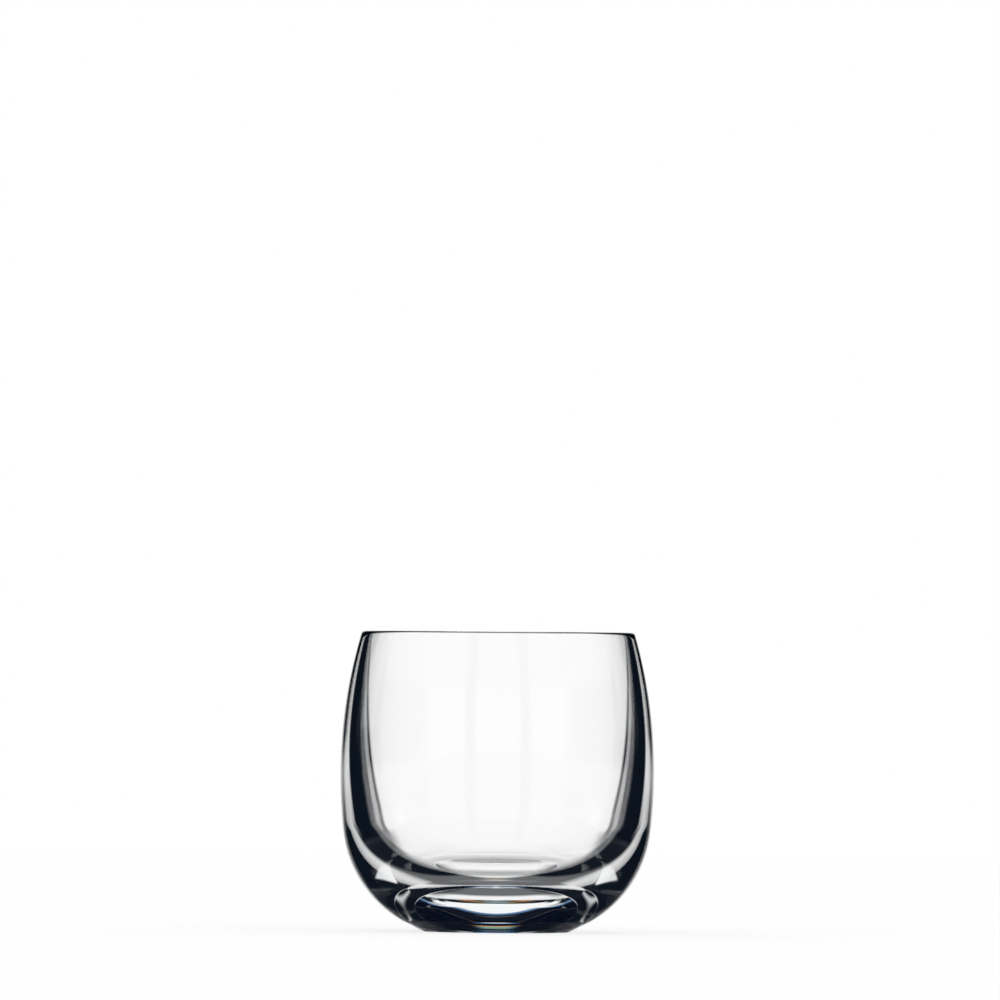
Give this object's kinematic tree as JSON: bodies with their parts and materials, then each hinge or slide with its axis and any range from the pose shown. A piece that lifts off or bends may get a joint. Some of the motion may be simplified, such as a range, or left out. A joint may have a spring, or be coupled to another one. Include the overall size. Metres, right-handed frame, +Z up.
{
  "type": "rocks glass",
  "caption": "Clear thick-walled rocks glass with a rounded belly, a fire-polished lip and a heavy base that stands on a narrow foot ring; holds a short drink and ice.",
  "frame": {"origin": "middle of the foot, on the plane of the foot ring that the glass stands on", "axes": "+Z up along the glass's axis; X and Y are level, and the glass is the same all round"},
  "size_m": [0.091, 0.091, 0.087],
  "materials": {
    "clear_glass": "polished"
  },
  "bodies": {
    "root": {"tumbler": "clear_glass"}
  },
  "joints": []
}
